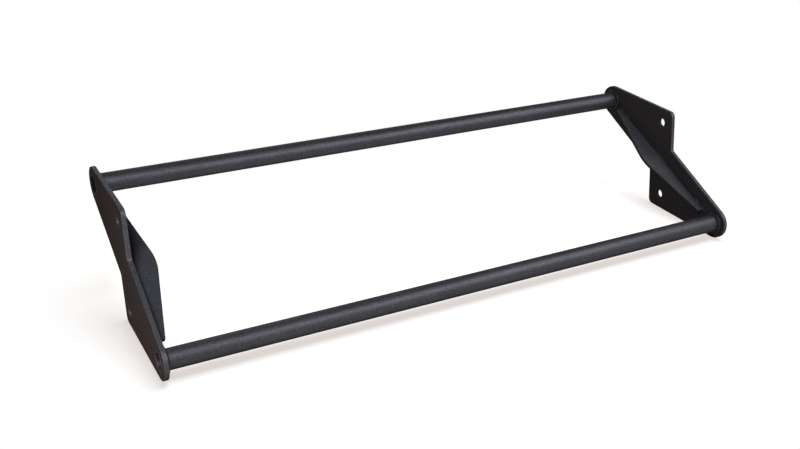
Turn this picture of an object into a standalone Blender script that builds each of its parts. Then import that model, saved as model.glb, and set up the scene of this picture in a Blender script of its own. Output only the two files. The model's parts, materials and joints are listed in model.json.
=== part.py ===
"""Double pull-up bar: two steel tubes welded between two cut end plates, each stiffened by a gusset.

Metres, +Z up. X runs along the bars, +Y points to the rear, and the bar stands on the lower edges of
its end plates. The origin is on that floor, at the middle of the object.
Each plate is drawn in its own plane: u runs to the rear and v runs up its bolt line.
"""
import math

import bmesh
import bpy
from mathutils import Vector

# Whole object
OVERALL_WIDTH = 1.125
FIT_GAP = 0.0003

# Tubes, placed from the plate's middle: the rear one at (+u, +v) and the front one at (-u, -v)
TUBE_DIAMETER = 0.0337
TUBE_WALL = 0.0026
TUBE_EDGE = 0.0004
TUBE_U = 0.1525
TUBE_V = 0.102
TUBE_SIDES = 64

# End plates
PLATE_THICKNESS = 0.008
ROUND_END = 0.030
STEM_HALF = 0.030
STEM_TOP = 0.100
STEM_STEP = 0.021
FOOT_CORNER = 0.012
STEP_CORNER = 0.008
PLATE_EDGE = 0.0009
ARC_STEP = math.radians(6.0)

# Bolt holes, on the stem's centre line
BOLT_PITCH = 0.1524
BOLT_HOLE = 0.0175
BOLT_SIDES = 32
HOLE_EDGE = 0.0005

# Gussets stand on the line between the two tubes. s runs along it from the plate's middle to the rear
# and h is the height off the plate. Both free edges fall evenly from a broad round crest.
GUSSET_THICKNESS = 0.006
GUSSET_HALF_LENGTH = 0.150
GUSSET_PEAK = 0.0452
GUSSET_FALL = 0.2155
GUSSET_CREST = 0.100
GUSSET_TIP = 0.003
GUSSET_EDGE = 0.0006

# Welds: a ring has three sections to a ripple, and each gusset has three short beads on either side.
# A bead's two ends are fuller than its waist. A fullness of 2 is a flat face and 1 is a round one.
RING_PLATE_LEG = 0.0056
RING_TUBE_LEG = 0.0042
RING_RIPPLES = 26
RING_SIDES = 3 * RING_RIPPLES
BEAD_PLATE_LEG = 0.0050
BEAD_GUSSET_LEG = 0.0036
BEAD_TIP = 0.25
BEAD_WAIST = 0.16
BEAD_STATIONS = 19
BEAD_RIPPLE = 0.0045
RIPPLE_DEPTH = 0.05
RIPPLE_SKEW = 0.7
WELD_FULLNESS = 1.2
WELD_FACES = 4
BEADS = {
    "front": (-0.1495, -0.1210),
    "middle": (-0.0200, 0.0155),
    "rear": (0.1215, 0.1495),
}

POWDER_COAT = (0.036, 0.036, 0.040, 1.0)
WELD_COAT = (0.042, 0.042, 0.046, 1.0)
COAT_ROUGHNESS = 0.5
COAT_METALLIC = 0.0
SMOOTH_UNDER = math.radians(50.0)
BEVEL_OVER = math.radians(50.0)

# Places worked out from the sizes above
TUBE_RADIUS = TUBE_DIAMETER / 2
BORE_RADIUS = TUBE_RADIUS - TUBE_WALL
OUTER_FACE = OVERALL_WIDTH / 2
INNER_FACE = OUTER_FACE - PLATE_THICKNESS
REAR = (TUBE_U, TUBE_V)
FRONT = (-TUBE_U, -TUBE_V)
GUSSET_ANGLE = math.atan2(TUBE_V, TUBE_U)
SIDES = {"left": -1.0, "right": 1.0}

for leftover in list(bpy.data.objects):
    bpy.data.objects.remove(leftover, do_unlink=True)


def tangent_angle(point, centre, radius, turn):
    """Angle, seen from a circle's centre, where the line from a point touches the circle."""
    away_u = point[0] - centre[0]
    away_v = point[1] - centre[1]
    return math.atan2(away_v, away_u) + turn * math.acos(radius / math.hypot(away_u, away_v))


def arc(centre, radius, start, end):
    """Points on a circle from one angle to the other, about one every ARC_STEP."""
    count = max(2, math.ceil(abs(end - start) / ARC_STEP))
    angles = [start + (end - start) * step / count for step in range(count + 1)]
    return [(centre[0] + radius * math.cos(a), centre[1] + radius * math.sin(a)) for a in angles]


def rounded_corner(before, corner, after, radius):
    """An arc of the given radius in place of a sharp corner."""
    into = Vector((before[0] - corner[0], before[1] - corner[1])).normalized()
    out = Vector((after[0] - corner[0], after[1] - corner[1])).normalized()
    half = into.angle(out) / 2
    middle = Vector(corner) + (into + out).normalized() * radius / math.sin(half)
    first = Vector(corner) + into * radius / math.tan(half) - middle
    last = Vector(corner) + out * radius / math.tan(half) - middle
    start = math.atan2(first.y, first.x)
    turn = (math.atan2(last.y, last.x) - start + math.pi) % (2 * math.pi) - math.pi
    return arc(middle, radius, start, start + turn)


def point_on(centre, radius, angle):
    return (centre[0] + radius * math.cos(angle), centre[1] + radius * math.sin(angle))


# The corners next to the front round end: the stem's foot and the step where the diagonal starts
FOOT = (STEM_HALF, -STEM_TOP)
STEP = (-STEM_HALF, STEM_STEP)
FOOT_TANGENT = tangent_angle(FOOT, FRONT, ROUND_END, -1.0)
STEP_TANGENT = tangent_angle(STEP, FRONT, ROUND_END, 1.0)

# The lower edge lies flat on the floor, which tilts the plate and its bolt line forward
TILT = FOOT_TANGENT + math.pi / 2
PLATE_HEIGHT = ROUND_END + TUBE_V * math.cos(TILT) - TUBE_U * math.sin(TILT)

# Every piece hangs on this empty, which leans the plates' own u and v into place
stand = bpy.data.objects.new("stand", None)
stand.rotation_euler = (-TILT, 0.0, 0.0)
stand.location = (0.0, 0.0, PLATE_HEIGHT)
bpy.context.scene.collection.objects.link(stand)


def plate_outline():
    """Outline of an end plate, counterclockwise. Its second half is its first turned half round."""
    step_touch = point_on(FRONT, ROUND_END, STEP_TANGENT)
    foot_touch = point_on(FRONT, ROUND_END, FOOT_TANGENT)
    far_step = (-STEP[0], -STEP[1])
    round_end = arc(FRONT, ROUND_END, STEP_TANGENT, FOOT_TANGENT + 2 * math.pi)
    foot = rounded_corner(foot_touch, FOOT, far_step, FOOT_CORNER)
    step = rounded_corner(FOOT, far_step, (-step_touch[0], -step_touch[1]), STEP_CORNER)
    half = round_end + foot + step
    return half + [(-u, -v) for u, v in half]


def gusset_outline():
    """Side view of a gusset as (s, h): straight root, two sloping free edges and a broad round crest."""
    end_height = GUSSET_PEAK - GUSSET_HALF_LENGTH * GUSSET_FALL
    front_root = (-GUSSET_HALF_LENGTH, FIT_GAP)
    rear_root = (GUSSET_HALF_LENGTH, FIT_GAP)
    front_tip = (-GUSSET_HALF_LENGTH, end_height)
    rear_tip = (GUSSET_HALF_LENGTH, end_height)
    peak = (0.0, GUSSET_PEAK)
    outline = [front_root, rear_root]
    outline += rounded_corner(rear_root, rear_tip, peak, GUSSET_TIP)
    outline += rounded_corner(rear_tip, peak, front_tip, GUSSET_CREST)
    outline += rounded_corner(peak, front_tip, front_root, GUSSET_TIP)
    return outline


def new_object(name, bm, colour):
    """Turn a bmesh into a named object with its own material, tilted with the plates."""
    bmesh.ops.recalc_face_normals(bm, faces=bm.faces)
    mesh = bpy.data.meshes.new(name)
    bm.to_mesh(mesh)
    bm.free()
    mesh.shade_smooth()
    mesh.set_sharp_from_angle(angle=SMOOTH_UNDER)
    material = bpy.data.materials.new(name + "_coat")
    material.use_nodes = True
    shader = material.node_tree.nodes["Principled BSDF"]
    shader.inputs["Base Color"].default_value = colour
    shader.inputs["Roughness"].default_value = COAT_ROUGHNESS
    shader.inputs["Metallic"].default_value = COAT_METALLIC
    mesh.materials.append(material)
    thing = bpy.data.objects.new(name, mesh)
    bpy.context.scene.collection.objects.link(thing)
    thing.parent = stand
    return thing


def extrude_outline(points, direction):
    """Closed body: a flat face through the points, extruded by a vector."""
    bm = bmesh.new()
    face = bm.faces.new([bm.verts.new(point) for point in points])
    grown = bmesh.ops.extrude_face_region(bm, geom=[face], use_keep_orig=True)
    top = [item for item in grown["geom"] if isinstance(item, bmesh.types.BMVert)]
    bmesh.ops.translate(bm, verts=top, vec=direction)
    return bm


def bridge_sections(sections, closed):
    """Skin a row of equal rings of points. An open row is capped at its two ends."""
    bm = bmesh.new()
    rings = [[bm.verts.new(point) for point in section] for section in sections]
    count = len(rings[0])
    last = len(rings) if closed else len(rings) - 1
    for i in range(last):
        near = rings[i]
        far = rings[(i + 1) % len(rings)]
        for j in range(count):
            k = (j + 1) % count
            bm.faces.new((near[j], near[k], far[k], far[j]))
    if not closed:
        bm.faces.new(rings[0])
        bm.faces.new(rings[-1][::-1])
    return bm


def add_bevel(thing, name, width, segments):
    bevel = thing.modifiers.new(name, "BEVEL")
    bevel.width = width
    bevel.segments = segments
    bevel.limit_method = "ANGLE"
    bevel.angle_limit = BEVEL_OVER


def keep_flats_flat(thing):
    """Shade the small rounded edges so that the large faces beside them still look flat."""
    shading = thing.modifiers.new("flat faces", "WEIGHTED_NORMAL")
    shading.keep_sharp = True


def hole_cutter(name, side, centre, radius, sides):
    """A round bar through one end plate, hidden, used only to cut a hole."""
    reach = PLATE_THICKNESS
    rim = [point_on(centre, radius, 2 * math.pi * i / sides) for i in range(sides)]
    start = side * (INNER_FACE - reach)
    bm = extrude_outline([(start, u, v) for u, v in rim], (side * (PLATE_THICKNESS + 2 * reach), 0.0, 0.0))
    cutter = new_object(name, bm, POWDER_COAT)
    cutter.hide_render = True
    cutter.display_type = "WIRE"
    return cutter


def make_bar(name, centre):
    """One tube: a wall profile spun round its own axis, open at both ends."""
    half = OUTER_FACE
    profile = [
        (-half, BORE_RADIUS + TUBE_EDGE),
        (-half, TUBE_RADIUS - TUBE_EDGE),
        (-half + TUBE_EDGE, TUBE_RADIUS),
        (half - TUBE_EDGE, TUBE_RADIUS),
        (half, TUBE_RADIUS - TUBE_EDGE),
        (half, BORE_RADIUS + TUBE_EDGE),
        (half - TUBE_EDGE, BORE_RADIUS),
        (-half + TUBE_EDGE, BORE_RADIUS),
    ]
    sections = []
    for i in range(TUBE_SIDES):
        angle = 2 * math.pi * i / TUBE_SIDES
        sections.append([(x, *point_on(centre, radius, angle)) for x, radius in profile])
    return new_object(name, bridge_sections(sections, closed=True), POWDER_COAT)


def make_end_plate(name, side):
    """Cut plate: rounded edges first, then the two tube holes and the two bolt holes."""
    outline = [(side * INNER_FACE, u, v) for u, v in plate_outline()]
    plate = new_object(name, extrude_outline(outline, (side * PLATE_THICKNESS, 0.0, 0.0)), POWDER_COAT)
    add_bevel(plate, "rounded edges", PLATE_EDGE, 2)
    holes = {
        "rear_tube": (REAR, TUBE_RADIUS + FIT_GAP, TUBE_SIDES),
        "front_tube": (FRONT, TUBE_RADIUS + FIT_GAP, TUBE_SIDES),
        "upper_bolt": ((0.0, BOLT_PITCH / 2), BOLT_HOLE / 2, BOLT_SIDES),
        "lower_bolt": ((0.0, -BOLT_PITCH / 2), BOLT_HOLE / 2, BOLT_SIDES),
    }
    for hole, (centre, radius, sides) in holes.items():
        cut = plate.modifiers.new(hole, "BOOLEAN")
        cut.operation = "DIFFERENCE"
        cut.solver = "EXACT"
        cut.object = hole_cutter(name + "_" + hole + "_cutter", side, centre, radius, sides)
    add_bevel(plate, "softened hole edges", HOLE_EDGE, 1)
    keep_flats_flat(plate)
    return plate


def on_gusset(side, s, h, n):
    """Point beside a gusset: s along its root, h off the plate's inner face, n above its middle plane."""
    along = (math.cos(GUSSET_ANGLE), math.sin(GUSSET_ANGLE))
    u = along[0] * s - along[1] * n
    v = along[1] * s + along[0] * n
    return Vector((side * (INNER_FACE - h), u, v))


def make_gusset(name, side):
    half = GUSSET_THICKNESS / 2
    outline = [on_gusset(side, s, h, half) for s, h in gusset_outline()]
    down = on_gusset(side, 0.0, 0.0, -half) - on_gusset(side, 0.0, 0.0, half)
    gusset = new_object(name, extrude_outline(outline, down), POWDER_COAT)
    add_bevel(gusset, "softened edges", GUSSET_EDGE, 2)
    keep_flats_flat(gusset)
    return gusset


def fillet_section(plate_leg, other_leg, size):
    """Cross section of a full fillet weld, as distances off the plate and off the piece that it holds."""
    points = [(FIT_GAP, FIT_GAP)]
    for i in range(WELD_FACES + 1):
        angle = math.pi / 2 * i / WELD_FACES
        off_plate = size * other_leg * abs(math.cos(angle)) ** WELD_FULLNESS
        off_other = size * plate_leg * math.sin(angle) ** WELD_FULLNESS
        points.append((FIT_GAP + off_plate, FIT_GAP + off_other))
    return points


def ripple(phase):
    """Each drop of a weld swells slowly and ends in a short step, like a row of pushed coins."""
    share = phase % 1.0
    return RIPPLE_DEPTH * math.sin(math.pi * share ** RIPPLE_SKEW)


def make_ring_weld(name, side, centre):
    """Ring of fillet weld in the corner between a tube and the inner face of an end plate."""
    sections = []
    for i in range(RING_SIDES):
        angle = 2 * math.pi * i / RING_SIDES
        size = 1.0 + ripple((i + 0.5) * RING_RIPPLES / RING_SIDES)
        section = []
        for off_plate, off_tube in fillet_section(RING_PLATE_LEG, RING_TUBE_LEG, size):
            u, v = point_on(centre, TUBE_RADIUS + off_tube, angle)
            section.append((side * (INNER_FACE - off_plate), u, v))
        sections.append(section)
    return new_object(name, bridge_sections(sections, closed=True), WELD_COAT)


def make_bead(name, side, start, end, under):
    """Short bead of fillet weld between a gusset's face and its plate, with rounded ends."""
    length = end - start
    sections = []
    for i in range(BEAD_STATIONS):
        share = -math.cos(math.pi * i / (BEAD_STATIONS - 1))
        s = start + length * (share + 1.0) / 2
        to_end = max(0.0, length / 2 * (1.0 - abs(share)))
        closing = min(1.0, to_end / BEAD_PLATE_LEG)
        size = BEAD_TIP + (1.0 - BEAD_TIP) * math.sqrt(closing * (2.0 - closing))
        size *= 1.0 - BEAD_WAIST * (1.0 - share * share) + ripple((s - start) / BEAD_RIPPLE)
        section = []
        for off_plate, off_gusset in fillet_section(BEAD_PLATE_LEG, BEAD_GUSSET_LEG, size):
            n = GUSSET_THICKNESS / 2 + off_gusset
            section.append(on_gusset(side, s, off_plate, -n if under else n))
        sections.append(section)
    return new_object(name, bridge_sections(sections, closed=False), WELD_COAT)


make_bar("rear_bar", REAR)
make_bar("front_bar", FRONT)
for side_name, direction in SIDES.items():
    make_end_plate(side_name + "_end_plate", direction)
    make_gusset(side_name + "_gusset", direction)
    make_ring_weld(side_name + "_rear_bar_weld", direction, REAR)
    make_ring_weld(side_name + "_front_bar_weld", direction, FRONT)
    for place, (bead_start, bead_end) in BEADS.items():
        make_bead(side_name + "_gusset_upper_weld_" + place, direction, bead_start, bead_end, under=False)
        make_bead(side_name + "_gusset_under_weld_" + place, direction, bead_start, bead_end, under=True)
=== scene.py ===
import json
import math

import bmesh
import bpy
from mathutils import Matrix, Vector


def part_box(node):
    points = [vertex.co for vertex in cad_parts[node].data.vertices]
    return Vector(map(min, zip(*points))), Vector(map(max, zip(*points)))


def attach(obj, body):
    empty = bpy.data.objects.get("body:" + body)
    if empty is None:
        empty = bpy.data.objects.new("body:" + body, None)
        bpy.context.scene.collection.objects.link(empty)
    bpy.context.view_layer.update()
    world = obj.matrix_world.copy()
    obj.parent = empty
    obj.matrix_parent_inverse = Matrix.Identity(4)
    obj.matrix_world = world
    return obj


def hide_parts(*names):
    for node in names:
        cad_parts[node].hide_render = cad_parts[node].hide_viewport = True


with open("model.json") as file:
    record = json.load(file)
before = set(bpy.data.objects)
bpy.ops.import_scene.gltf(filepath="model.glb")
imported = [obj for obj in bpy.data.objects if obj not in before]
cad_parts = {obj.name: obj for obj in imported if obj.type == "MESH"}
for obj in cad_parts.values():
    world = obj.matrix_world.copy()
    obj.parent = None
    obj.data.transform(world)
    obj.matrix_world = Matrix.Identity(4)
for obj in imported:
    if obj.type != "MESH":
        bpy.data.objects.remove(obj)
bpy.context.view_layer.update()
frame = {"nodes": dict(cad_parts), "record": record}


# The grip tubes
# Two 33.7 mm steel tubes with a 2.6 mm wall, 1125 mm long and open at both ends. Their graphite powder coat
# holds a fine metal flake, which shines along the upper front and leaves the rims dark. The saw cut ends
# lie flush with the plates and get a dull, warm, darker copy of the coat as painted shade. The inside of
# the rear tube is painted near black as painted shade, darker than the front tube's.
BAR_COLOUR = (0.0445, 0.0445, 0.0510)
BAR_ROUGHNESS = 0.46
BAR_GLOSS = 0.10
BAR_FLAKE = 0.70
FLAKE_RIM = (0.0, 0.0, 0.0, 1.0)
END_COLOUR_AND_PAINTED_SHADE = (0.0190, 0.0170, 0.0165)
END_ROUGHNESS = 0.80
END_GLOSS = 0.03
BORE_PAINTED_SHADE_COLOUR = (0.0040, 0.0030, 0.0030)

# How the pieces are told apart into faces, edges and bores. A face looks along a way where the cosine to it
# is over FACE_OVER, and a bore's reach ends within the metal round it.
BORE_REACH = 0.0155
ALONG_THE_BARS = (1.0, 0.0, 0.0)
ACROSS_THE_BARS = (0.0, 1.0, 1.0)
FACE_OVER = 0.80
SHARP_OVER = math.radians(50.0)
SAME_PLACE = 0.000005

# The patterns in the powder. A scale is about how many spots of a pattern lie along a metre, and the tones
# are what it multiplies the colour by. A range is the stretch of the noise that is spread over the tones.
NOISE_RANGE = (0.3, 0.7)
CLOUD_SCALE = 11.0
CLOUD_TONES = (0.93, 1.07)
MOTTLE_SCALE = 330.0
MOTTLE_TONES = (0.82, 1.18)
FLECK_SCALE = 700.0
FLECK_TONES = (1.0, 2.2)
FLECK_RANGE = (0.60, 0.76)
SMEAR_SCALE = 45.0
SMEAR_ROUGHNESS = 0.03
PEEL_SCALE = 260.0
PEEL_HEIGHT = 0.00005
GRAIN_SCALE = 1400.0
GRAIN_HEIGHT = 0.00003


def add_node(tree, kind, inputs, **settings):
    """Add a node with its settings, and link or fill its inputs, each by its name or number."""
    node = tree.nodes.new(kind)
    for name, setting in settings.items():
        setattr(node, name, setting)
    for socket, value in inputs.items():
        if isinstance(value, bpy.types.NodeSocket):
            tree.links.new(value, node.inputs[socket])
        else:
            node.inputs[socket].default_value = value
    return node


def powder_coat(name, colour, roughness, gloss, flake=0.0):
    """Matt powder coat: cloudy tone, mottling, pin-sized flecks, a fine grain and a slight orange peel.

    Metal flake in it shines where it is looked at squarely and is dark at the rims.
    """
    material = bpy.data.materials.new(name)
    material.use_nodes = True
    tree = material.node_tree
    shader = tree.nodes["Principled BSDF"]
    shader.inputs["Specular IOR Level"].default_value = gloss
    shader.inputs["Metallic"].default_value = flake
    if flake:
        shader.inputs["Specular Tint"].default_value = FLAKE_RIM
    place = add_node(tree, "ShaderNodeTexCoord", {}).outputs["Object"]

    def noise(scale, detail):
        inputs = {"Vector": place, "Scale": scale, "Detail": detail}
        return add_node(tree, "ShaderNodeTexNoise", inputs).outputs["Fac"]

    def spread(value, tones, span=NOISE_RANGE):
        inputs = {"Value": value, "To Min": tones[0], "To Max": tones[1]}
        inputs.update({"From Min": span[0], "From Max": span[1]})
        return add_node(tree, "ShaderNodeMapRange", inputs).outputs["Result"]

    def times(first, second):
        return add_node(tree, "ShaderNodeMath", {0: first, 1: second}, operation="MULTIPLY").outputs[0]

    def bump(pattern, height, **below):
        inputs = {"Height": pattern, "Distance": height, **below}
        return add_node(tree, "ShaderNodeBump", inputs).outputs["Normal"]

    clouds = spread(noise(CLOUD_SCALE, detail=4.0), CLOUD_TONES)
    mottle = spread(noise(MOTTLE_SCALE, detail=2.0), MOTTLE_TONES)
    flecks = spread(noise(FLECK_SCALE, detail=1.0), FLECK_TONES, FLECK_RANGE)
    tone = times(times(clouds, mottle), flecks)
    paint = add_node(tree, "ShaderNodeVectorMath", {0: colour, "Scale": tone}, operation="SCALE")
    shiny_to_dull = (roughness - SMEAR_ROUGHNESS, roughness + SMEAR_ROUGHNESS)
    smears = spread(noise(SMEAR_SCALE, detail=3.0), shiny_to_dull)
    peel = bump(noise(PEEL_SCALE, detail=1.0), PEEL_HEIGHT)
    grain = bump(noise(GRAIN_SCALE, detail=2.0), GRAIN_HEIGHT, Normal=peel)
    tree.links.new(paint.outputs[0], shader.inputs["Base Color"])
    tree.links.new(smears, shader.inputs["Roughness"])
    tree.links.new(grain, shader.inputs["Normal"])
    return material


def smooth_steel(face_way, other_coat, on_faces=False, linings=()):
    """Modifier group that joins a part's facets and shades them smooth up to a sharp edge.

    The other coat goes on the faces that look along face_way, or on all that don't. A lining is the coat
    of whatever lies within a reach of a middle line along X, such as the wall of a bore.
    """
    tree = bpy.data.node_groups.new("smooth_steel", "GeometryNodeTree")
    tree.interface.new_socket("Geometry", in_out="INPUT", socket_type="NodeSocketGeometry")
    tree.interface.new_socket("Geometry", in_out="OUTPUT", socket_type="NodeSocketGeometry")

    def step(part, kind, inputs, **settings):
        return add_node(tree, kind, {"Geometry": part, **inputs}, **settings).outputs["Geometry"]

    def compare(value, operation, limit):
        inputs = {"A": value, "B": limit}
        return add_node(tree, "FunctionNodeCompare", inputs, operation=operation).outputs["Result"]

    part = add_node(tree, "NodeGroupInput", {}).outputs[0]
    part = step(part, "GeometryNodeMergeByDistance", {"Distance": SAME_PLACE})
    # The loaded facets carry flat normals of their own, which would hide the smooth shading.
    part = step(part, "GeometryNodeRemoveAttribute", {"Name": "custom_normal"})
    part = step(part, "GeometryNodeSetShadeSmooth", {})
    bend = add_node(tree, "GeometryNodeInputMeshEdgeAngle", {}).outputs["Unsigned Angle"]
    gentle = compare(bend, "LESS_THAN", SHARP_OVER)
    part = step(part, "GeometryNodeSetShadeSmooth", {"Shade Smooth": gentle}, domain="EDGE")
    looks = add_node(tree, "GeometryNodeInputNormal", {}).outputs[0]
    along = add_node(tree, "ShaderNodeVectorMath", {0: looks, 1: face_way}, operation="DOT_PRODUCT")
    squarely = add_node(tree, "ShaderNodeMath", {0: along.outputs["Value"]}, operation="ABSOLUTE")
    chosen = compare(squarely.outputs[0], "GREATER_THAN" if on_faces else "LESS_THAN", FACE_OVER)
    part = step(part, "GeometryNodeSetMaterial", {"Selection": chosen, "Material": other_coat})
    for middle, reach, lining_coat in linings:
        spot = add_node(tree, "GeometryNodeInputPosition", {}).outputs[0]
        flat = add_node(tree, "ShaderNodeVectorMath", {0: spot, 1: ACROSS_THE_BARS}, operation="MULTIPLY")
        off_middle = {0: flat.outputs[0], 1: (0.0, middle.y, middle.z)}
        away = add_node(tree, "ShaderNodeVectorMath", off_middle, operation="DISTANCE").outputs["Value"]
        inside = compare(away, "LESS_THAN", reach)
        part = step(part, "GeometryNodeSetMaterial", {"Selection": inside, "Material": lining_coat})
    add_node(tree, "NodeGroupOutput", {0: part})
    return tree


def finish_node(name, coat, smooth):
    """Keep a CAD piece, give it its coat and shade its rounds smooth and its flats flat."""
    piece = frame["nodes"][name]
    for slot in piece.material_slots:
        slot.material = coat
    piece.modifiers.new("smooth rounds", "NODES").node_group = smooth
    flats = piece.modifiers.new("flat flats", "WEIGHTED_NORMAL")
    flats.keep_sharp = True


def middle_line(bar):
    """Where a tube's middle line crosses the middle plane of the object."""
    low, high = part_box(bar)
    return Vector((0.0, (low.y + high.y) / 2, (low.z + high.z) / 2))


BAR_COAT = powder_coat("bar_coat", BAR_COLOUR, BAR_ROUGHNESS, BAR_GLOSS, BAR_FLAKE)
END_COAT_AND_PAINTED_SHADE = powder_coat("bar_end_coat_and_painted_shade", END_COLOUR_AND_PAINTED_SHADE, END_ROUGHNESS, END_GLOSS)
BORE_PAINTED_SHADE_COAT = powder_coat("bore_painted_shade_coat", BORE_PAINTED_SHADE_COLOUR, END_ROUGHNESS, END_GLOSS)
# The rear tube's bore is lined with near black as painted shade; the front tube's bore keeps the tube coat.
for bar, inside_coat in (("rear_bar", BORE_PAINTED_SHADE_COAT), ("front_bar", BAR_COAT)):
    bore = (middle_line(bar), BORE_REACH, inside_coat)
    finish_node(bar, BAR_COAT, smooth_steel(ALONG_THE_BARS, END_COAT_AND_PAINTED_SHADE, on_faces=True, linings=[bore]))


# The end plates
# Two 8 mm steel plates, laser cut to one stepped outline: round by 30 mm where the tubes pass through,
# 60 mm wide between the two bolt holes. Faces and cut edges are one coat: the faces get a darker, dull copy
# as painted shade, and the cut edges a lighter, bluer copy with the tubes' flake as painted light. The
# right plate's hole walls get the faces' dull copy as painted shade, and the left plate's get the edges'
# copy.
PLATE_COLOUR_AND_PAINTED_SHADE = (0.0175, 0.0168, 0.0180)
PLATE_ROUGHNESS = 0.80
PLATE_GLOSS = 0.0
EDGE_COLOUR_AND_PAINTED_LIGHT = (0.049, 0.051, 0.061)
EDGE_ROUGHNESS = 0.45
EDGE_GLOSS = 0.10
EDGE_FLAKE = 0.65
HOLE_REACH = 0.0115

PLATE_COAT_AND_PAINTED_SHADE = powder_coat("plate_coat", PLATE_COLOUR_AND_PAINTED_SHADE, PLATE_ROUGHNESS, PLATE_GLOSS)
EDGE_COAT_AND_PAINTED_LIGHT = powder_coat("cut_edge_coat_and_painted_light", EDGE_COLOUR_AND_PAINTED_LIGHT, EDGE_ROUGHNESS, EDGE_GLOSS, EDGE_FLAKE)
# The right plate's hole walls are lined with the faces' dull coat as painted shade.
hole_walls_painted_shade = []
for opening in frame["record"]["physics"]["openings"]:
    if opening["name"] in ("right_upper_bolt_hole", "right_lower_bolt_hole"):
        low, high = opening["box_m"]
        hole_walls_painted_shade.append(((Vector(low) + Vector(high)) / 2, HOLE_REACH, PLATE_COAT_AND_PAINTED_SHADE))
finish_node("left_end_plate", PLATE_COAT_AND_PAINTED_SHADE, smooth_steel(ALONG_THE_BARS, EDGE_COAT_AND_PAINTED_LIGHT))
finish_node("right_end_plate", PLATE_COAT_AND_PAINTED_SHADE, smooth_steel(ALONG_THE_BARS, EDGE_COAT_AND_PAINTED_LIGHT, linings=hole_walls_painted_shade))


# The gussets
# A flat 6 mm sheet stands square on the inner face of each plate, in line with the two tubes, and is
# highest in the middle. It stiffens the plate where the stem would bend. Its cut edges get the plates' dull
# face coat as painted shade, and its own faces a lighter, bluer copy of the coat as painted light.
GUSSET_COLOUR_AND_PAINTED_LIGHT = (0.0320, 0.0334, 0.0396)
GUSSET_THICKNESS = 0.006
REAR_LINE = middle_line("rear_bar")
FRONT_LINE = middle_line("front_bar")
TO_REAR = (REAR_LINE - FRONT_LINE).normalized()
SHEET_UP = Vector((0.0, -TO_REAR.z, TO_REAR.y))

GUSSET_COAT_AND_PAINTED_LIGHT = powder_coat("gusset_coat_and_painted_light", GUSSET_COLOUR_AND_PAINTED_LIGHT, PLATE_ROUGHNESS, PLATE_GLOSS)
# The gussets' cut edges get the plates' dull coat as painted shade.
smooth_sheet = smooth_steel(SHEET_UP, PLATE_COAT_AND_PAINTED_SHADE)
for gusset in ("left_gusset", "right_gusset"):
    finish_node(gusset, GUSSET_COAT_AND_PAINTED_LIGHT, smooth_sheet)


# The welds round the tubes
# A fillet of weld metal runs all round each tube in the corner with the plate's inner face. It was laid
# in one run, drop by drop, so it is rippled, a little uneven, and thick where its end laps its start.
# The ring is coloured darker than the stitches on the gussets, as painted shade in that corner.
WELD_COLOUR = (0.0320, 0.0325, 0.0370)
RING_COLOUR_AND_PAINTED_SHADE = (0.0180, 0.0180, 0.0205)
WELD_ROUGHNESS = 0.38
WELD_GLOSS = 0.10
WELD_FLAKE = 0.65
WELD_SEAT = 0.0001
WELD_FULLNESS = 0.9
WELD_FACES = 10
RIPPLE_DEPTH = 0.07
RIPPLE_SKEW = 0.7
RIPPLE_BOW = 0.55
RING_PLATE_LEG = 0.0058
RING_TUBE_LEG = 0.0044
RING_RIPPLES = 26
SECTIONS_PER_RIPPLE = 10
RING_SECTIONS = SECTIONS_PER_RIPPLE * RING_RIPPLES
SLOW_SWELL = 0.020
SLOW_WAVES = 3.0
QUICK_SWELL = 0.015
QUICK_WAVES = 7.0
RING_LAP = math.radians(250.0)
LAP_LENGTH = math.radians(16.0)
LAP_RISE = 0.10


def across_gap(plate):
    """Which way is inward from an end plate, and the place of the plate's inner face along X."""
    low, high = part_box(plate)
    return (1.0, high.x) if high.x < 0.0 else (-1.0, low.x)


def weld_ripple(phase, turn):
    """Each drop swells slowly and ends in a short step, and its front is bowed like a coin's rim."""
    share = (phase + RIPPLE_BOW * math.sin(2.0 * turn)) % 1.0
    return RIPPLE_DEPTH * math.sin(math.pi * share ** RIPPLE_SKEW)


def fillet_section(plate_leg, other_leg, size, phase):
    """Cross section of a full fillet weld, as distances off the plate and off the piece that it holds."""
    points = [(-WELD_SEAT, -WELD_SEAT)]
    for i in range(WELD_FACES + 1):
        turn = math.pi / 2 * i / WELD_FACES
        swell = size + weld_ripple(phase, turn) * math.sin(2.0 * turn)
        off_plate = swell * other_leg * abs(math.cos(turn)) ** WELD_FULLNESS
        off_other = swell * plate_leg * math.sin(turn) ** WELD_FULLNESS
        points.append((off_plate - WELD_SEAT, off_other - WELD_SEAT))
    return points


def weld_piece(node, sections, closed, coat):
    """Skin a row of sections, shade it smooth and let it stand for the plain weld."""
    bm = bmesh.new()
    rings = [[bm.verts.new(point) for point in section] for section in sections]
    count = len(rings[0])
    for i in range(len(rings) if closed else len(rings) - 1):
        near = rings[i]
        far = rings[(i + 1) % len(rings)]
        for j in range(count):
            k = (j + 1) % count
            bm.faces.new((near[j], near[k], far[k], far[j]))
    if not closed:
        bm.faces.new(rings[0])
        bm.faces.new(rings[-1][::-1])
    bmesh.ops.recalc_face_normals(bm, faces=bm.faces)
    mesh = bpy.data.meshes.new(node + "_ripples")
    bm.to_mesh(mesh)
    bm.free()
    mesh.shade_smooth()
    mesh.set_sharp_from_angle(angle=SHARP_OVER)
    mesh.materials.append(coat)
    piece = bpy.data.objects.new(node + "_ripples", mesh)
    bpy.context.scene.collection.objects.link(piece)
    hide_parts(node)
    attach(piece, "root")


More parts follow.
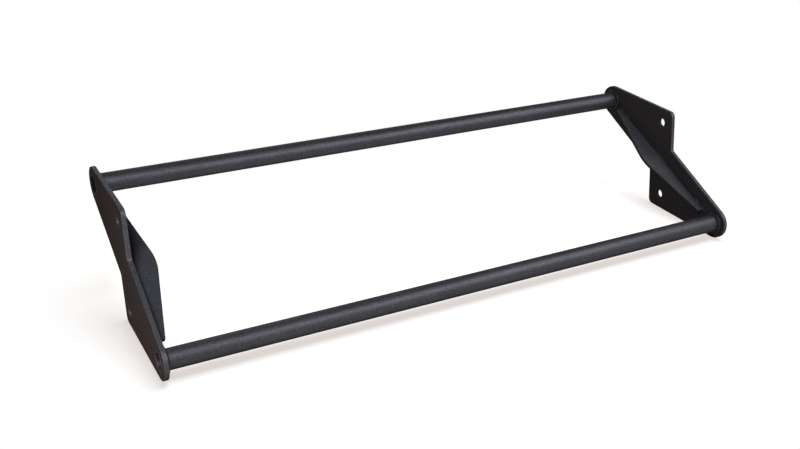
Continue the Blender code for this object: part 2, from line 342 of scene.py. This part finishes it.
def ring_weld(side, bar):
    """The ring of weld between one tube and one plate's inner face."""
    inward, face = across_gap(side + "_end_plate")
    low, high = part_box(bar)
    middle = middle_line(bar)
    radius = (high.z - low.z) / 2
    sections = []
    for i in range(RING_SECTIONS):
        angle = 2.0 * math.pi * i / RING_SECTIONS
        from_lap = (angle - RING_LAP) / LAP_LENGTH
        size = 1.0 + SLOW_SWELL * math.sin(SLOW_WAVES * angle + inward)
        size += QUICK_SWELL * math.sin(QUICK_WAVES * angle)
        size += LAP_RISE * math.exp(-from_lap * from_lap)
        phase = i * RING_RIPPLES / RING_SECTIONS
        section = []
        for off_plate, off_tube in fillet_section(RING_PLATE_LEG, RING_TUBE_LEG, size, phase):
            out = radius + off_tube
            spot = middle + Vector((0.0, out * math.cos(angle), out * math.sin(angle)))
            spot.x = face + inward * off_plate
            section.append(spot)
        sections.append(section)
    weld_piece(side + "_" + bar + "_weld", sections, closed=True, coat=RING_COAT_AND_PAINTED_SHADE)


WELD_COAT = powder_coat("weld_coat", WELD_COLOUR, WELD_ROUGHNESS, WELD_GLOSS, WELD_FLAKE)
RING_COAT_AND_PAINTED_SHADE = powder_coat("ring_coat_and_painted_shade", RING_COLOUR_AND_PAINTED_SHADE, WELD_ROUGHNESS, WELD_GLOSS, WELD_FLAKE)
for side in ("left", "right"):
    for bar in ("rear_bar", "front_bar"):
        ring_weld(side, bar)


# The gusset welds
# Three short stitches of fillet weld hold each gusset on either side, one at each end and one in the
# middle. Each was started and stopped with a fuller drop, so its waist is thinner than its ends. Where it
# starts and ends is measured along the sheet, rearward from its middle.
BEAD_PLATE_LEG = 0.0052
BEAD_GUSSET_LEG = 0.0038
BEAD_TIP = 0.25
BEAD_WAIST = 0.50
BEAD_SECTIONS = 64
BEAD_RIPPLE = 0.0045
STITCHES = {"front": (-0.1495, -0.1210), "middle": (-0.0200, 0.0155), "rear": (0.1215, 0.1495)}


def stitch(side, level, place):
    """One stitch, whose sections lie closer together towards its tips."""
    inward, face = across_gap(side + "_end_plate")
    upward = SHEET_UP if level == "upper" else -SHEET_UP
    start, end = STITCHES[place]
    length = end - start
    sections = []
    for i in range(BEAD_SECTIONS):
        share = -math.cos(math.pi * i / (BEAD_SECTIONS - 1))
        along = start + length * (share + 1.0) / 2
        to_end = max(0.0, length / 2 * (1.0 - abs(share)))
        closing = min(1.0, to_end / BEAD_PLATE_LEG)
        size = BEAD_TIP + (1.0 - BEAD_TIP) * math.sqrt(closing * (2.0 - closing))
        size *= 1.0 - BEAD_WAIST * (1.0 - share * share)
        phase = along / BEAD_RIPPLE
        section = []
        for off_plate, off_gusset in fillet_section(BEAD_PLATE_LEG, BEAD_GUSSET_LEG, size, phase):
            above = upward * (GUSSET_THICKNESS / 2 + off_gusset)
            spot = (REAR_LINE + FRONT_LINE) / 2 + TO_REAR * along + above
            spot.x = face + inward * off_plate
            section.append(spot)
        sections.append(section)
    weld_piece(side + "_gusset_" + level + "_weld_" + place, sections, closed=False, coat=WELD_COAT)


for side in ("left", "right"):
    for level in ("upper", "under"):
        for place in STITCHES:
            stitch(side, level, place)


# The studio floor
# A pale matt floor, whose bounce colour is what it throws back on the part. Seen directly or in a gloss,
# it shows the part's soft shadow out to SHADOW_FROM on either side of the middle, and over the next
# SHADOW_END it fades to plain white. FLOOR_LIFT is the light that it has in the shadow too.
FLOOR_HALF = 12.0
FLOOR_TILES = 8
FLOOR_BOUNCE = (0.50, 0.37, 0.30, 1.0)
FLOOR_SHADOWED = (0.460, 0.510, 0.540, 1.0)
FLOOR_LIFT = (0.700, 0.652, 0.625, 1.0)
SHADOW_FROM = (0.54, 0.20, 1.0)
SHADOW_END = 0.21


def seen_rays(tree):
    """1 for a ray that shows what it meets: from the camera, off a gloss or through glass."""
    ray = add_node(tree, "ShaderNodeLightPath", {}).outputs
    direct = {0: ray["Is Camera Ray"], 1: ray["Is Glossy Ray"]}
    seen = add_node(tree, "ShaderNodeMath", direct, operation="MAXIMUM").outputs[0]
    through = {0: seen, 1: ray["Is Transmission Ray"]}
    return add_node(tree, "ShaderNodeMath", through, operation="MAXIMUM").outputs[0]


def studio_floor():
    """Make the floor and return it."""
    bm = bmesh.new()
    bmesh.ops.create_grid(bm, x_segments=FLOOR_TILES, y_segments=FLOOR_TILES, size=FLOOR_HALF)
    mesh = bpy.data.meshes.new("studio_floor")
    bm.to_mesh(mesh)
    bm.free()
    material = bpy.data.materials.new("studio_floor")
    material.use_nodes = True
    tree = material.node_tree
    tree.nodes.clear()
    place = add_node(tree, "ShaderNodeTexCoord", {}).outputs["Object"]
    mirrored = add_node(tree, "ShaderNodeVectorMath", {0: place}, operation="ABSOLUTE").outputs[0]
    past_shadow = {0: mirrored, 1: SHADOW_FROM}
    beyond = add_node(tree, "ShaderNodeVectorMath", past_shadow, operation="SUBTRACT").outputs[0]
    outside = add_node(tree, "ShaderNodeVectorMath", {0: beyond}, operation="MAXIMUM").outputs[0]
    away = add_node(tree, "ShaderNodeVectorMath", {0: outside}, operation="LENGTH").outputs["Value"]
    fading = {"Value": away, "From Max": SHADOW_END}
    fade = add_node(tree, "ShaderNodeMapRange", fading, interpolation_type="SMOOTHSTEP").outputs["Result"]
    bounce = add_node(tree, "ShaderNodeBsdfDiffuse", {"Color": FLOOR_BOUNCE}).outputs[0]
    shadowed = add_node(tree, "ShaderNodeBsdfDiffuse", {"Color": FLOOR_SHADOWED}).outputs[0]
    lift = add_node(tree, "ShaderNodeEmission", {"Color": FLOOR_LIFT}).outputs[0]
    near = add_node(tree, "ShaderNodeAddShader", {0: shadowed, 1: lift}).outputs[0]
    white = add_node(tree, "ShaderNodeEmission", {}).outputs[0]
    shown = add_node(tree, "ShaderNodeMixShader", {0: fade, 1: near, 2: white}).outputs[0]
    either = add_node(tree, "ShaderNodeMixShader", {0: seen_rays(tree), 1: bounce, 2: shown}).outputs[0]
    add_node(tree, "ShaderNodeOutputMaterial", {"Surface": either})
    mesh.materials.append(material)
    floor = bpy.data.objects.new("studio_floor", mesh)
    bpy.context.scene.collection.objects.link(floor)
    return floor


FLOOR = studio_floor()


# The light
# The left softbox throws the left plate's shadow on its gusset. The broad right one is flagged off that
# gusset and draws the long highlights on the tubes, with the small one above. The two cards and the back
# softbox light the outer faces and the rear, and the floor has a softbox of its own.
WARM_CARD = (1.0, 0.75, 0.63)
OFF_GUSSET = [frame["nodes"]["left_gusset"]]
ROOM_COLOUR = (0.9, 0.95, 1.0, 1.0)
WALL_COLOUR = (1.0, 1.0, 1.0, 1.0)
ROOM_FILL = 0.06
WALL_TOP = 0.30
CEILING_FROM = 0.50


def softbox(name, place, aim, size, level, on_floor="EXCLUDE", colour=(1.0, 1.0, 1.0), flagged=()):
    """Area light of a width and height that looks at its aim.

    At a level of 1, a face at the aim that looks at it renders its colour about as written. The floor is
    either kept out of its light or all that it lights, and the flagged pieces are kept out as well.
    """
    way = Vector(place) - Vector(aim)
    lamp = bpy.data.lights.new(name, "AREA")
    lamp.shape = "RECTANGLE"
    lamp.size, lamp.size_y = size
    lamp.energy = level * (math.pi * way.length) ** 2
    lamp.color = colour
    box = bpy.data.objects.new(name, lamp)
    box.location = place
    box.rotation_euler = way.to_track_quat("Z", "Y").to_euler()
    bpy.context.scene.collection.objects.link(box)
    lit = bpy.data.collections.new(name + "_lights")
    lit.objects.link(FLOOR)
    lit.collection_objects[0].light_linking.link_state = on_floor
    for piece in flagged:
        lit.objects.link(piece)
        lit.collection_objects[-1].light_linking.link_state = "EXCLUDE"
    box.light_linking.receiver_collection = lit


def studio_room():
    """A dim room. Seen directly or in a gloss, its walls are white and its ceiling is dark."""
    world = bpy.data.worlds.new("studio_room")
    world.use_nodes = True
    tree = world.node_tree
    tree.nodes.clear()
    fill = add_node(tree, "ShaderNodeBackground", {"Color": ROOM_COLOUR, "Strength": ROOM_FILL})
    toward = add_node(tree, "ShaderNodeTexCoord", {}).outputs["Generated"]
    height = add_node(tree, "ShaderNodeSeparateXYZ", {0: toward}).outputs["Z"]
    rising = {"Value": height, "From Min": WALL_TOP, "From Max": CEILING_FROM}
    rising.update({"To Min": 1.0, "To Max": ROOM_FILL})
    ceiling = add_node(tree, "ShaderNodeMapRange", rising).outputs["Result"]
    walls = add_node(tree, "ShaderNodeBackground", {"Color": WALL_COLOUR, "Strength": ceiling})
    shown = {0: seen_rays(tree), 1: fill.outputs[0], 2: walls.outputs[0]}
    either = add_node(tree, "ShaderNodeMixShader", shown).outputs[0]
    add_node(tree, "ShaderNodeOutputWorld", {"Surface": either})
    bpy.context.scene.world = world


softbox("left_softbox", (-0.95, -0.70, 1.10), (-0.53, 0.0, 0.1), (0.35, 0.35), 1.20)
softbox("right_softbox", (0.80, -0.95, 1.15), (0.50, 0.0, 0.1), (2.10, 1.00), 1.60, flagged=OFF_GUSSET)
softbox("top_softbox", (1.05, -0.30, 1.20), (0.45, 0.0, 0.1), (0.50, 0.50), 0.22)
softbox("low_card", (-1.01, -0.20, 0.03), (-0.56, -0.14, 0.05), (0.30, 0.20), 2.40, colour=WARM_CARD)
softbox("side_card", (1.30, 0.35, 0.30), (0.56, 0.0, 0.1), (0.60, 0.40), 1.10)
softbox("back_softbox", (0.10, 1.50, 0.85), (0.0, 0.15, 0.1), (1.80, 0.70), 0.60)
softbox("floor_softbox", (0.35, 0.0, 2.20), (0.0, 0.0, 0.0), (1.80, 1.80), 1.30, on_floor="INCLUDE")
studio_room()
bpy.context.scene.view_settings.view_transform = "Standard"


# The camera
# It stands in front and to the left, looking down on the part, and leans a little to one side.
CAMERA_PLACE = (-0.8613, -1.3682, 0.8629)
CAMERA_TURN = math.radians(30.196)
CAMERA_DIP = math.radians(26.407)
CAMERA_LEAN = math.radians(2.647)
CAMERA_LENS = 43.9
CAMERA_SENSOR = 36.0

camera = bpy.data.objects.new("camera", bpy.data.cameras.new("camera"))
bpy.context.scene.collection.objects.link(camera)
aim = Matrix.Rotation(-CAMERA_TURN, 4, "Z") @ Matrix.Rotation(math.pi / 2 - CAMERA_DIP, 4, "X")
camera.matrix_world = Matrix.Translation(CAMERA_PLACE) @ aim @ Matrix.Rotation(CAMERA_LEAN, 4, "Z")
camera.data.lens = CAMERA_LENS
camera.data.sensor_width = CAMERA_SENSOR
bpy.context.scene.camera = camera
